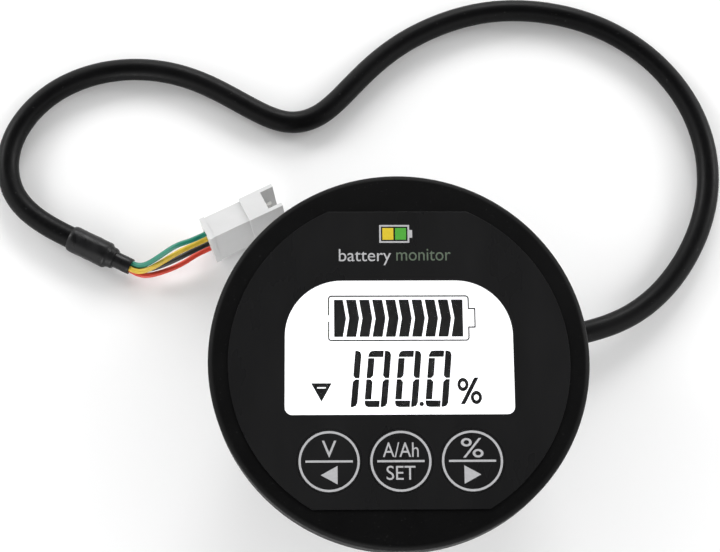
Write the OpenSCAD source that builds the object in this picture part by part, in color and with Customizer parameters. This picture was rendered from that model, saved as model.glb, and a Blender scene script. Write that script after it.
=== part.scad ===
// Round panel battery monitor: a bezel with a film-covered face and three keys on a
// threaded barrel, clamped by a ring nut, with a short signal lead and its connector.
// Origin: centre of the rear face. +Z points out of the face, +Y towards its top.

/* [Bezel and face] */
// Outer diameter of the bezel
bezel_d = 65.2; // [62:0.2:80]
// Thickness of the bezel's flange
flange_h = 6; // [5:0.5:8]
// Radius of the bezel's front edge
edge_r = 1.1; // [0.5:0.1:2]
// Distance from the rear face to the front face
depth = 31; // [30:0.5:40]
// Thickness of the printed film
film_t = 0.3; // [0.2:0.1:0.6]
// Width of the bezel that the film leaves bare
bare_rim = 3.5; // [2:0.1:5]
// Distance of the centre of the film and its print below the axis
face_drop = 0.75; // [0:0.05:1]
// Height of the film's flat top edge above the axis
film_top = 25.7; // [24:0.1:28]
// Depth of the film's flat bottom edge below the axis
film_bottom = 25.8; // [24:0.1:27]

/* [Screen] */
// Visible width of the screen
screen_w = 38.9; // [32:0.1:39]
// Height of the screen's top edge above the axis
screen_top = 13.45; // [12:0.05:14.4]
// Depth of the screen's bottom edge below the axis
screen_bottom = 9.85; // [8:0.05:10]
// Radius of the screen's large upper corners
screen_r = 9.7; // [8:0.1:10]
// Radius of the screen's small lower corners
screen_foot_r = 1.3; // [0.5:0.1:3]
// Thickness of the clear lens
lens_t = 3; // [2:0.1:3.5]
// Thickness of the liquid crystal glass
glass_t = 2.8; // [2:0.1:3]

/* [Keys] */
// Diameter of a key
key_d = 10.86; // [8:0.1:11.2]
// Spacing of the keys
key_pitch = 12; // [11.7:0.1:13]
// Distance of the row of keys below the axis
key_drop = 17.75; // [16:0.05:18]
// How far a key goes in
key_travel = 0.3; // [0.2:0.05:0.4]

/* [Barrel and ring nut] */
// Diameter over the thread, for a 52 mm panel hole
barrel_d = 51.6; // [51:0.2:58]
// Length of the thread behind the flange
thread_l = 15; // [14.5:0.5:17]
// Pitch of the thread
thread_pitch = 2; // [1.5:0.5:2]
// Outer diameter of the ring nut
nut_d = 59; // [57:0.5:62]
// Thickness of the ring nut
nut_h = 5; // [4:0.5:6]
// Thickness of the gasket
gasket_t = 1.5; // [1:0.5:2]
// Thickness of the clamp washer
washer_t = 1.5; // [1:0.5:2]
// Clearance between the thread and the rings around it
ring_gap = 0.1; // [0.05:0.01:0.1]

/* [Signal lead] */
// Diameter of the lead's jacket
lead_d = 4.2; // [3.5:0.1:5.2]
// Direction in which the lead leaves, from +X towards +Y
exit_angle = 16; // [10:1:20]
// Diameter of one insulated wire
wire_d = 1; // [0.8:0.05:1.1]

/* [Connector] */
// Width of the connector across its row of contacts
plug_w = 10.4; // [10:0.1:12.5]
// Thickness of the connector's hood
plug_t = 5.2; // [4.8:0.1:5.4]
// Length of the connector
plug_l = 15; // [14:0.5:18]
// Angle at which the connector leans back
plug_lean = 12; // [0:1:15]

/* [Hidden] */
$fn = 96;
eps = 0.01;

// Face and stack of parts behind it, from the front to the back.
bezel_r = bezel_d / 2;
film_r = bezel_r - bare_rim;
face_wall = 3;
wall_back = depth - face_wall;
lens_lip_t = 0.8;
segment_t = 0.1;
segment_gap = 0.1;
glass_front = wall_back - lens_lip_t - segment_gap - segment_t;
glass_back = glass_front - glass_t;
guide_t = 3;
guide_back = glass_back - guide_t;
sheet_t = 0.2;
pcb_front = guide_back - sheet_t;
pcb_t = 1.6;
pcb_back = pcb_front - pcb_t;
flange_back = depth - flange_h;

// Barrel, from the outside in.
barrel_r = barrel_d / 2;
thread_root_r = barrel_r - 0.6;
bore_r = barrel_r - 1.8;
barrel_back = flange_back - thread_l;
slot_w = 4;
slot_r = barrel_r - 0.85;
spigot_h = 2;
spigot_r = bore_r - 0.15;
cover_r = barrel_r - 1;
cover_wall = 1.6;
cover_floor = 1.8;
pcb_r = bore_r - 0.2;
glass_r = bore_r - 2.1;
frame_r = bore_r - 1;

// Marks on the screen. Digits lean to the right by slant times their height.
digit_low = -8.05;
digit_x = [-11.1, -6, -0.8, 4.4];
digit_w = 3.9;
digit_h = 9.8;
slant = 0.09;
stroke = 1.1;
mark_gap = 0.22;

// Screws through the cover and the board into the housing's columns.
screw_spots = [[0, 20.4], [16.6, -13.6], [-16.6, -13.6]];
screw_r = 1;
screw_head_r = 2.1;
screw_head_h = 1.6;
screw_recess = 2.2;
screw_grip = 5.2;
screw_l = pcb_front + screw_grip - screw_recess;
column_r = 2;
boss_r = 3;
screw_hole_r = 1.2;

// Connector on the back of the board, with the plug that the lead's cores end in.
header_spot = [7, 1];
header_h = 5;
header_plug_h = 7;
header_plug_back = pcb_back - header_h - 3;

// Keys and their switches.
key_r = key_d / 2;
key_pocket_r = key_r + 0.07;
key_t = 1.2;
key_top = depth + film_t;
key_back = depth - key_t;
pocket_back = key_back - key_travel - 0.1;
stem_r = 1.8;
stem_hole_r = stem_r + 0.08;
switch_w = 3.2;
switch_h = 2.5;
plunger_r = 0.8;
plunger_top = pcb_front + 4.3;
plunger_back = pcb_front + 1.5;

// Rings around the barrel.
ring_bore_r = barrel_r + ring_gap;
gasket_back = flange_back - gasket_t;
washer_back = gasket_back - washer_t;
nut_back = washer_back - nut_h;
gasket_r = barrel_r + 4.2;
washer_r = barrel_r + 3.4;

// Route of the lead: [x, y, height of the centre line above its resting height].
lead_r = lead_d / 2;
exit_rise = 3.4;
exit_z = lead_r + exit_rise;
exit_pad = spigot_r + 0.05;
pad_w = lead_d + 6;
pad_wall = 2;
grommet_waist = lead_r + 0.9;
grommet_lip = lead_r + 1.5;
grommet_nose = 6.5;
route_start = barrel_r - 12.8;
route_in_cover = [for (k = [0:3]) concat(along_exit(route_start + 5 * k), exit_rise)];
route_on_table = [
    [33, 9.35, 3], [39, 10.9, 2], [45, 13.4, 0.9], [51, 17.9, 0.2], [56, 24.05, 0],
    [59.7, 31.25, 0], [61.8, 39.25, 0], [61.6, 47.75, 0], [59, 56.25, 0], [53.8, 64.05, 0],
    [46.5, 70.25, 0], [38, 74.25, 0], [28.5, 76.15, 0], [19, 75.85, 0], [10, 73.15, 0],
    [1.8, 68.7, 0], [-4.6, 63, 0], [-9.4, 57.5, 0], [-13.8, 53.4, 0], [-19.3, 52, 0],
    [-25, 54.3, 0], [-31.8, 58.5, 0], [-39, 62.1, 0], [-47.5, 63.85, 0], [-56.5, 63.1, 0],
    [-65, 59.45, 0], [-71.4, 52.8, 0], [-74, 44.8, 0.1], [-72, 37, 0.3],
    [-66.4, 32.25, 0.5], [-61.4, 29.65, 0.5], [-57.4, 27.65, 0.5], [-53.4, 25.65, 0.5]
];
lead_route = [for (p = concat(route_in_cover, route_on_table)) [p.x, p.y, lead_r + p.z]];
lead_sides = 10;
lead_rings = 48;

// Heat-shrink sleeves, on the straight last stretch of the lead.
lead_end = lead_route[len(lead_route) - 1];
lead_end_dir = unit(lead_end - lead_route[len(lead_route) - 2]);
shrink_r = lead_r + 0.4;
shrink_on_jacket = 8;
shrink_neck = 1.5;
sleeve_bore_r = wire_d * 1.26;
sleeve_r = sleeve_bore_r + 0.3;
sleeve_l = 4.8;

// Connector: it lies on its narrow side and leans back on that side's far edge.
plug_rear = [-34, 26.75];
plug_yaw = 26;
body_t = plug_t - 0.6;
body_l = 8.3;
body_inset = 0.5;
plug_lift = plug_t / 2 * sin(plug_lean);
contact_pitch = 2;
hood_wall = 0.7;
hood_floor = 7.3;
hood_notch = 2.6;
crimp_start = 1.5;
crimp_w = 1.2;
pin_w = 0.6;

// Wires between the sleeve and the connector.
wire_r = wire_d / 2;
wire_sides = 8;
wire_rings = 8;
// Place of each wire in the bundle, across and above the lead's centre line.
bundle_side = [1, -1, 1, -1];
bundle_level = [1, 1, -1, -1];
bundle = wire_r * 1.04;
// Height in the connector's row that each wire goes to, with 0 next to the table.
wire_place = [3, 2, 1, 0];
// How each wire bows between the sleeve and the connector.
wire_bow = [[0, 1.2, 2.2], [0, 0.4, 1], [0, 0, 0.2], [0.4, -0.8, -0.2]];
// Place in the board's header of each core, with 0 nearest to the axis.
core_place = [1, 3, 0, 2];
core_pitch = 2;
core_r = wire_r * 0.84;
core_spread = 0.65;
core_rise = 1.2;

// A point at distance d from the axis on the line along which the lead leaves.
function along_exit(d) = [d * cos(exit_angle), d * sin(exit_angle)];

function unit(v) = v / norm(v);

// Uniform cubic B-spline that starts and ends on its first and last points.
function with_ends(p) =
    concat([2 * p[0] - p[1]], p, [2 * p[len(p) - 1] - p[len(p) - 2]]);
function blend_point(q, i, t) =
    (pow(1 - t, 3) * q[i] + (3 * t * t * t - 6 * t * t + 4) * q[i + 1]
        + (-3 * t * t * t + 3 * t * t + 3 * t + 1) * q[i + 2] + t * t * t * q[i + 3]) / 6;
function blend_slope(q, i, t) =
    (-(1 - t) * (1 - t) * q[i] + (3 * t * t - 4 * t) * q[i + 1]
        + (-3 * t * t + 2 * t + 1) * q[i + 2] + t * t * q[i + 3]) / 2;
function span(u, n) = min(floor(u), n - 2);

// Corner j of the ring around point c of a tube that runs along slope d.
function ring_corner(c, d, r, sides, j) =
    let (across = unit(cross(d, [0, 0, 1])), up = unit(cross(across, d)))
    c + r * (cos(360 * j / sides) * across + sin(360 * j / sides) * up);

// Closed tube along a spline through the control points p.
module tube(p, r, sides, rings) {
    q = with_ends(p);
    n = len(p);
    corners = [
        for (i = [0:rings - 1])
            let (u = i * (n - 1) / (rings - 1), k = span(u, n), t = u - k)
            for (j = [0:sides - 1])
                ring_corner(blend_point(q, k, t), blend_slope(q, k, t), r, sides, j)
    ];
    walls = [
        for (i = [0:rings - 2])
            for (j = [0:sides - 1])
                let (
                    a = i * sides + j,
                    b = i * sides + (j + 1) % sides,
                    c = b + sides,
                    d = a + sides
                )
                each [[a, c, b], [a, d, c]]
    ];
    first_cap = [[for (j = [0:sides - 1]) j]];
    last_cap = [[for (j = [sides - 1:-1:0]) (rings - 1) * sides + j]];
    polyhedron(points = corners, faces = concat(walls, first_cap, last_cap));
}

// Stands children on point a and turns their Z towards point b.
module facing(a, b) {
    d = b - a;
    translate(a) rotate([0, acos(d.z / norm(d)), atan2(d.y, d.x)]) children();
}

// Straight round rod from point a to point b.
module rod(a, b, r) {
    facing(a, b) cylinder(r = r, h = norm(b - a));
}

// Rods that join the points of a list, with a slightly larger ball at each inner corner.
module bent_rod(points, r) {
    for (i = [0:len(points) - 2]) rod(points[i], points[i + 1], r);
    for (i = [1:len(points) - 2]) facing(points[i], points[i + 1]) sphere(r = 1.12 * r);
}

// Square-cornered plate centred on a spot.
module plate(spot, size, z) {
    translate([spot.x - size.x / 2, spot.y - size.y / 2, z]) cube(size);
}

module at_keys(i) {
    translate([(i - 1) * key_pitch, -key_drop, 0]) children();
}

// Outline of the screen, grown on every side.
module screen_outline(grow) {
    half = screen_w / 2 + grow;
    top = screen_top + grow;
    bottom = screen_bottom + grow;
    big = screen_r + grow;
    small = screen_foot_r + grow;
    union() {
        translate([-half, -bottom + small]) square([2 * half, top + bottom - small - big]);
        translate([-half + big, -bottom + small]) square([2 * (half - big), top + bottom - small]);
        translate([-half + small, -bottom]) square([2 * (half - small), small + eps]);
        for (side = [-1, 1]) {
            translate([side * (half - big), top - big]) circle(r = big);
            translate([side * (half - small), -bottom + small]) circle(r = small);
        }
    }
}

// Outline of the glass: a wide plate whose corners are cut to fit the barrel.
module glass_outline(grow) {
    intersection() {
        circle(r = glass_r + grow);
        translate([-screen_w / 2 - 1 - grow, -screen_bottom - 1.6 - grow])
            square([screen_w + 2 + 2 * grow, screen_top + screen_bottom + 2.6 + 2 * grow]);
    }
}

// ---- Front housing ----

// Half section of the barrel and its ridges, as an outline in radius and height.
module barrel_section() {
    ridges = floor((thread_l - 1) / thread_pitch);
    polygon(concat(
        [[0, barrel_back], [thread_root_r, barrel_back]],
        [
            for (k = [0:ridges - 1])
                let (z = barrel_back + 0.6 + k * thread_pitch)
                each [[thread_root_r, z], [barrel_r, z + 0.6], [barrel_r, z + 0.8], [thread_root_r, z + 1.4]]
        ],
        [[thread_root_r, flange_back + 1], [0, flange_back + 1]]
    ));
}

module flange_section() {
    polygon(concat(
        [[0, flange_back], [bezel_r - 0.4, flange_back], [bezel_r, flange_back + 0.4]],
        [for (a = [0:15:90]) [bezel_r - edge_r + edge_r * cos(a), depth - edge_r + edge_r * sin(a)]],
        [[0, depth]]
    ));
}

module front_housing() {
    color([0.05, 0.05, 0.055])
    difference() {
        union() {
            difference() {
                union() {
                    rotate_extrude() barrel_section();
                    rotate_extrude() flange_section();
                }
                translate([0, 0, barrel_back - 1]) cylinder(r = bore_r, h = wall_back - barrel_back + 1);
            }
            intersection() {
                for (spot = screw_spots)
                    translate([spot.x, spot.y, pcb_front])
                        cylinder(r = column_r, h = wall_back - pcb_front + eps);
                translate([0, 0, barrel_back]) cylinder(r = bore_r + eps, h = depth - barrel_back - 1);
            }
        }
        translate([0, 0, wall_back - 1]) linear_extrude(face_wall + 2) screen_outline(0.4);
        for (i = [0:2])
            at_keys(i) {
                translate([0, 0, pocket_back]) cylinder(r = key_pocket_r, h = face_wall);
                translate([0, 0, wall_back - 1]) cylinder(r = stem_hole_r, h = face_wall);
            }
        for (spot = screw_spots)
            translate([spot.x, spot.y, pcb_front - 1]) cylinder(r = screw_r, h = screw_grip + 1.5);
        for (side = [0, 180])
            rotate([0, 0, side])
                translate([slot_r, -slot_w / 2, barrel_back - 1]) cube([2, slot_w, thread_l + 1]);
    }
}

// ---- Face ----

module graphic_overlay() {
    color([0.03, 0.03, 0.035])
    translate([0, 0, depth])
        difference() {
            linear_extrude(film_t)
                difference() {
                    intersection() {
                        translate([0, -face_drop]) circle(r = film_r);
                        translate([-film_r, -film_bottom]) square([2 * film_r, film_top + film_bottom]);
                    }
                    screen_outline(0);
                }
            for (i = [0:2]) at_keys(i) translate([0, 0, -1]) cylinder(r = key_pocket_r, h = film_t + 2);
        }
}

module display_window() {
    color([0.93, 0.95, 0.97, 0.5])
    union() {
        translate([0, 0, wall_back]) linear_extrude(lens_t) screen_outline(0.3);
        translate([0, 0, wall_back - lens_lip_t]) linear_extrude(lens_lip_t) screen_outline(1);
    }
}

// ---- Screen ----

module lcd_glass() {
    color([0.85, 0.9, 0.88, 0.6])
    translate([0, 0, glass_back]) linear_extrude(glass_t) glass_outline(0);
}

// The dark marks of the screen: a battery with ten bars, four digits, a percent sign
// and a discharge mark.

module leaning(points) {
    polygon([for (p = points) [p.x + slant * p.y, p.y]]);
}

// The same bar at the foot and at the head of a digit.
module foot_and_head(points) {
    leaning(points);
    leaning([for (p = points) [p.x, digit_h - p.y]]);
}

module digit_one() {
    inner = digit_w - stroke;
    end = (digit_h - mark_gap) / 2;
    foot_and_head([
        [inner, 0], [digit_w - 0.8, 0], [digit_w - 0.25, 0.2], [digit_w, 0.75],
        [digit_w, end], [inner + 0.4, end], [inner, end - 0.45]
    ]);
}

module digit_zero() {
    end = (digit_h - mark_gap) / 2;
    side_low = stroke + mark_gap;
    bar_right = digit_w - side_low;
    digit_one();
    foot_and_head([
        [0, side_low], [stroke, side_low], [stroke, end - 0.45], [stroke - 0.4, end], [0, end]
    ]);
    foot_and_head([
        [0, stroke], [0.05, 0.6], [0.3, 0.15], [0.8, 0], [bar_right, 0], [bar_right, stroke]
    ]);
}

module percent_sign() {
    for (spot = [[10.95, -4.2], [13.2, -6.45]])
        translate(spot)
            scale([0.95, 1.15])
                difference() {
                    circle(r = 1);
                    circle(r = 0.45);
                }
    polygon([[10.5, -7.6], [11.25, -7.6], [13.65, -3], [12.9, -3]]);
}

module rounded_box(left, right, low, high, r) {
    union() {
        translate([left + r, low]) square([right - left - 2 * r, high - low]);
        translate([left, low + r]) square([right - left, high - low - 2 * r]);
        for (x = [left + r, right - r])
            for (y = [low + r, high - r])
                translate([x, y]) circle(r = r);
    }
}

module battery_outline() {
    line = 0.22;
    left = -12.1;
    right = 12.3;
    low = 3.45;
    high = 11.5;
    tip_low = 5.75;
    tip_high = 9.25;
    tip_right = 13.4;
    difference() {
        union() {
            rounded_box(left, right, low, high, 0.6);
            translate([right - eps, tip_low]) square([tip_right - right, tip_high - tip_low]);
        }
        rounded_box(left + line, right - line, low + line, high - line, 0.6 - line);
        translate([right - 2 * line, tip_low + line])
            square([tip_right - right + line, tip_high - tip_low - 2 * line]);
        translate([left - 1, 6.9]) square([2, 1.1]);
    }
}

module battery_bars() {
    bars = 10;
    first_left = -11.05;
    last_right = 11.2;
    left = -11.25;
    low = 4.2;
    high = 10.75;
    middle = (low + high) / 2;
    bar_pitch = 2.27;
    bar_w = 1.72;
    point = 0.55;
    for (k = [0:bars - 1]) {
        x = k == 0 ? first_left : left + k * bar_pitch;
        end = k == bars - 1 ? last_right : left + k * bar_pitch + bar_w;
        back_point = k == 0 ? 0 : point;
        front_point = k == bars - 1 ? 0 : point;
        polygon([
            [x, low], [end, low], [end + front_point, middle], [end, high],
            [x, high], [x + back_point, middle]
        ]);
    }
}

module discharge_mark() {
    difference() {
        polygon([[-15, -3.9], [-11.5, -3.9], [-13.25, -7.1]]);
        translate([-14, -4.8]) square([1.5, 0.24]);
    }
}

module lcd_segments() {
    color([0.06, 0.06, 0.06])
    translate([0, 0, glass_front])
        linear_extrude(segment_t) {
            battery_outline();
            battery_bars();
            translate([digit_x[0], digit_low]) digit_one();
            for (k = [1:3]) translate([digit_x[k], digit_low]) digit_zero();
            translate([digit_x[3] - 0.58, digit_low + 0.5]) circle(r = 0.38);
            percent_sign();
            discharge_mark();
        }
}

module lcd_frame() {
    color([0.9, 0.9, 0.88])
    difference() {
        translate([0, 0, pcb_front])
            linear_extrude(glass_front - pcb_front)
                difference() {
                    intersection() {
                        circle(r = frame_r);
                        translate([-frame_r, -screen_bottom - 3.2])
                            square([2 * frame_r, screen_top + screen_bottom + 6]);
                    }
                    glass_outline(0.12);
                }
        for (spot = screw_spots)
            translate([spot.x, spot.y, pcb_front - 1]) cylinder(r = column_r + 0.2, h = 20);
    }
}

module light_guide() {
    color([0.97, 0.97, 0.98])
    translate([0, 0, guide_back])
        linear_extrude(guide_t)
            intersection() {
                glass_outline(0);
                translate([-screen_w / 2 - 1, -screen_bottom - 0.2])
                    square([screen_w + 2, screen_top + screen_bottom - 0.8]);
            }
}

module reflector_sheet() {
    color([0.98, 0.98, 0.98])
    translate([0, 0, pcb_front])
        linear_extrude(sheet_t)
            intersection() {
                glass_outline(-0.2);
                translate([-screen_w / 2 - 1, -screen_bottom - 0.2])
                    square([screen_w + 2, screen_top + screen_bottom - 0.8]);
            }
}

module backlight_leds() {
    color([1, 0.98, 0.85])
    for (x = [-9, 0, 9]) plate([x, screen_top - 0.1], [3.5, 1.2, 1.6], pcb_front);
}

module zebra_strip() {
    color([0.85, 0.45, 0.5])
    plate([0, -screen_bottom - 0.9], [32, 1, glass_back - pcb_front], pcb_front);
}

// ---- Board ----

module main_pcb() {
    color([0.05, 0.32, 0.16])
    translate([0, 0, pcb_back])
        difference() {
            cylinder(r = pcb_r, h = pcb_t);
            for (spot = screw_spots)
                translate([spot.x, spot.y, -1]) cylinder(r = screw_hole_r, h = pcb_t + 2);
        }
}

module controller_chip() {
    color([0.1, 0.1, 0.1])
    plate([-5, 3], [8, 8, 1], pcb_back - 1);
}

module regulator_chip() {
    color([0.1, 0.1, 0.1])
    plate([-7, -8], [6.5, 3.5, 1.6], pcb_back - 1.6);
}

module crystal() {
    color([0.8, 0.8, 0.82])
    plate([-5, 11], [5, 3.2, 1.2], pcb_back - 1.2);
}

module capacitors() {
    color([0.75, 0.75, 0.78])
    for (spot = [[-15, -5], [-15, 3]])
        translate([spot.x, spot.y, pcb_back - 5.4]) cylinder(r = 2.5, h = 5.4);
}

module chip_parts() {
    color([0.45, 0.35, 0.25])
    for (row = [0:2])
        for (k = [0:3])
            plate([-1 + 2.4 * k, -7 - 2.2 * row], [1.6, 0.8, 0.5], pcb_back - 0.5);
}

module lead_header() {
    color([0.93, 0.92, 0.88])
    difference() {
        plate(header_spot, [10.4, 5, header_h], pcb_back - header_h);
        plate(header_spot, [9, 3.6, header_h], pcb_back - header_h - 1);
    }
}

module header_plug() {
    color([0.95, 0.95, 0.93])
    plate(header_spot, [8.8, 3.4, header_plug_h], header_plug_back);
}

// ---- Keys ----

module switch_body(i) {
    color([0.12, 0.12, 0.12])
    at_keys(i)
        difference() {
            plate([0, 0], [switch_w, switch_w, switch_h], pcb_front);
            translate([0, 0, plunger_back - key_travel - 0.2]) cylinder(r = plunger_r + 0.07, h = switch_h);
        }
}

module plunger(i) {
    color([0.85, 0.85, 0.8])
    at_keys(i) translate([0, 0, plunger_back]) cylinder(r = plunger_r, h = plunger_top - plunger_back);
}

module key(i) {
    color([0.04, 0.04, 0.045])
    at_keys(i) {
        translate([0, 0, key_back]) cylinder(r = key_r, h = key_top - key_back);
        translate([0, 0, plunger_top]) cylinder(r = stem_r, h = key_back - plunger_top + eps);
    }
}

// ---- Rear cover ----

// Block that carries the lead's flat pad, along the line of the exit.
module exit_block(from, to, w, z0, z1) {
    rotate([0, 0, exit_angle]) translate([from, -w / 2, z0]) cube([to - from, w, z1 - z0]);
}

module along_lead(d) {
    rotate([0, 0, exit_angle])
        translate([d, 0, exit_z])
            rotate([0, 90, 0])
                children();
}

module rear_cover() {
    inner_r = cover_r - cover_wall;
    color([0.05, 0.05, 0.055])
    difference() {
        union() {
            difference() {
                union() {
                    cylinder(r = cover_r, h = barrel_back);
                    translate([0, 0, barrel_back - eps]) cylinder(r = spigot_r, h = spigot_h + eps);
                }
                translate([0, 0, cover_floor]) cylinder(r = inner_r, h = barrel_back);
                translate([0, 0, barrel_back]) cylinder(r = spigot_r - 1.4, h = spigot_h + 1);
            }
            intersection() {
                for (spot = screw_spots)
                    translate([spot.x, spot.y, eps]) cylinder(r = boss_r, h = pcb_back - eps);
                union() {
                    cylinder(r = cover_r - eps, h = barrel_back - eps);
                    cylinder(r = spigot_r - eps, h = pcb_back + 1);
                }
            }
            intersection() {
                exit_block(exit_pad - pad_wall, cover_r, pad_w, cover_floor - eps, barrel_back);
                cylinder(r = cover_r - eps, h = barrel_back);
            }
        }
        exit_block(exit_pad, cover_r + 1, pad_w, -1, barrel_back + 1);
        along_lead(exit_pad - pad_wall - 1) cylinder(r = grommet_waist, h = pad_wall + 2);
        for (spot = screw_spots)
            translate([spot.x, spot.y, -1]) {
                cylinder(r = screw_head_r + 0.3, h = screw_recess + 1);
                cylinder(r = screw_hole_r, h = depth);
            }
    }
}

module cover_screw(i) {
    color([0.7, 0.7, 0.72])
    translate([screw_spots[i].x, screw_spots[i].y, screw_recess])
        difference() {
            union() {
                translate([0, 0, -screw_head_h]) cylinder(r = screw_head_r, h = screw_head_h);
                cylinder(r = screw_r, h = screw_l);
            }
            for (turn = [0, 90])
                rotate([0, 0, turn]) translate([-1.3, -0.25, -screw_head_h - 1]) cube([2.6, 0.5, 1.8]);
        }
}

// ---- Panel clamp ----

module panel_gasket() {
    color([0.08, 0.08, 0.08])
    translate([0, 0, gasket_back])
        difference() {
            cylinder(r = gasket_r, h = gasket_t);
            translate([0, 0, -1]) cylinder(r = ring_bore_r, h = gasket_t + 2);
        }
}

module clamp_washer() {
    color([0.55, 0.56, 0.58])
    translate([0, 0, washer_back]) {
        difference() {
            cylinder(r = washer_r, h = washer_t);
            translate([0, 0, -1]) cylinder(r = ring_bore_r, h = washer_t + 2);
        }
        for (side = [0, 180])
            rotate([0, 0, side])
                translate([slot_r + 0.15, -slot_w / 2 + 0.1, 0])
                    cube([ring_bore_r - slot_r + 0.5, slot_w - 0.2, washer_t]);
    }
}

module ring_nut() {
    lugs = 12;
    nut_r = nut_d / 2;
    color([0.06, 0.06, 0.065])
    translate([0, 0, nut_back])
        difference() {
            cylinder(r = nut_r, h = nut_h);
            translate([0, 0, -1]) cylinder(r = ring_bore_r, h = nut_h + 2);
            for (k = [0:lugs - 1])
                rotate([0, 0, (k + 0.5) * 360 / lugs])
                    translate([nut_r + 1, 0, -1]) cylinder(r = 2.4, h = nut_h + 2);
        }
}

// ---- Lead ----

module lead_grommet() {
    color([0.07, 0.07, 0.075])
    along_lead(exit_pad)
        rotate_extrude()
            polygon([
                [lead_r, -pad_wall - 1.2], [grommet_lip, -pad_wall - 1.2], [grommet_lip, -pad_wall],
                [grommet_waist, -pad_wall], [grommet_waist, 0], [grommet_lip, 0], [grommet_lip, 0.7],
                [grommet_waist, 1.3], [lead_r + 0.35, grommet_nose], [lead_r, grommet_nose]
            ]);
}

module cable_tie() {
    color([0.9, 0.9, 0.88])
    difference() {
        union() {
            along_lead(route_start + 2) cylinder(r = lead_r + 0.8, h = 2.5);
            along_lead(route_start + 1.5)
                translate([-lead_r - 3.2, -1.8, 0]) cube([3, 3.6, 3.5]);
        }
        along_lead(route_start) cylinder(r = lead_r, h = 8);
    }
}

module lead_jacket() {
    color([0.05, 0.05, 0.05])
    tube(lead_route, lead_r, lead_sides, lead_rings);
}

// Where wire i starts in a bundle around a point; aside is level and across the lead.
function bundle_start(i, centre, aside, spread) =
    centre + spread * (bundle_side[i] * aside + bundle_level[i] * [0, 0, 1]);

module inner_lead(i) {
    first = bundle_start(
        i, concat(along_exit(route_start), exit_z), [-sin(exit_angle), cos(exit_angle), 0],
        core_spread
    );
    back = first - concat(along_exit(1.5), 0);
    foot = [header_spot.x + core_pitch * (core_place[i] - 1.5), header_spot.y, header_plug_back];
    turn = [foot.x, foot.y, back.z + core_rise];
    bent_rod([first, back, turn, foot], core_r);
}

module shrink_outer() {
    start = lead_end - shrink_on_jacket * lead_end_dir;
    color([0.03, 0.03, 0.03])
    difference() {
        union() {
            rod(start, lead_end, shrink_r);
            rod(lead_end, lead_end + shrink_neck * lead_end_dir, shrink_r - 0.3);
        }
        rod(start - lead_end_dir, lead_end, lead_r);
        rod(lead_end - lead_end_dir, lead_end + (shrink_neck + 1) * lead_end_dir, sleeve_r);
    }
}

module shrink_inner() {
    color([0.06, 0.06, 0.06])
    difference() {
        rod(lead_end, lead_end + sleeve_l * lead_end_dir, sleeve_r);
        rod(lead_end - lead_end_dir, lead_end + (sleeve_l + 1) * lead_end_dir, sleeve_bore_r);
    }
}

// A point given in the connector's own frame: along it, across it and up its row.
function plug_point(x, y, z) =
    let (
        across = y * cos(plug_lean) + z * sin(plug_lean),
        height = -y * sin(plug_lean) + z * cos(plug_lean)
    )
    [
        plug_rear.x + x * cos(plug_yaw) - across * sin(plug_yaw),
        plug_rear.y + x * sin(plug_yaw) + across * cos(plug_yaw),
        plug_lift + height
    ];

// Contact i sits in row place i, with place 0 next to the table.
function contact_level(i) = plug_w / 2 + (i - 1.5) * contact_pitch;

module wire(i) {
    level = contact_level(wire_place[i]);
    start = bundle_start(i, lead_end, [-lead_end_dir.y, lead_end_dir.x, 0], bundle);
    tube(
        [
            start, start + 2.6 * lead_end_dir, start + 5.2 * lead_end_dir,
            start + 7.8 * lead_end_dir + 0.4 * wire_bow[i],
            plug_point(-6.5, 0, level * 0.9) + 0.6 * wire_bow[i],
            plug_point(-3.5, 0, level), plug_point(-1, 0, level), plug_point(crimp_start, 0, level)
        ],
        wire_r, wire_sides, wire_rings
    );
}

// ---- Connector ----

module plug_frame() {
    translate([plug_rear.x, plug_rear.y, plug_lift])
        rotate([0, 0, plug_yaw])
            rotate([-plug_lean, 0, 0])
                children();
}

module plug_housing() {
    color([0.94, 0.94, 0.93])
    plug_frame()
        difference() {
            union() {
                translate([0, -body_t / 2, body_inset])
                    cube([body_l + eps, body_t, plug_w - 2 * body_inset]);
                translate([0, -body_t / 2 - 0.15, body_inset - 0.15])
                    cube([1, body_t + 0.3, plug_w - 2 * body_inset + 0.3]);
                translate([body_l, -plug_t / 2, 0]) cube([plug_l - body_l, plug_t, plug_w]);
            }
            translate([hood_floor + 1, -plug_t / 2 + hood_wall, hood_wall])
                cube([plug_l, plug_t - 2 * hood_wall, plug_w - 2 * hood_wall]);
            translate([plug_l - hood_notch, -plug_t / 2 + hood_wall, -1])
                cube([plug_l, plug_t - 2 * hood_wall, plug_w + 2]);
            for (i = [0:3])
                translate([0, 0, contact_level(i)]) {
                    translate([-1, 0, 0]) rotate([0, 90, 0]) cylinder(r = 0.8, h = crimp_start + 1);
                    translate([crimp_start, -crimp_w / 2, -crimp_w / 2])
                        cube([plug_l, crimp_w, crimp_w]);
                }
        }
}

module plug_contact(i) {
    color([0.85, 0.8, 0.6])
    plug_frame()
        translate([crimp_start, 0, contact_level(i)]) {
            translate([0, -crimp_w / 2, -crimp_w / 2]) cube([hood_floor - crimp_start, crimp_w, crimp_w]);
            translate([0, -pin_w / 2, -pin_w / 2]) cube([plug_l - crimp_start - 1.4, pin_w, pin_w]);
        }
}

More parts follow.
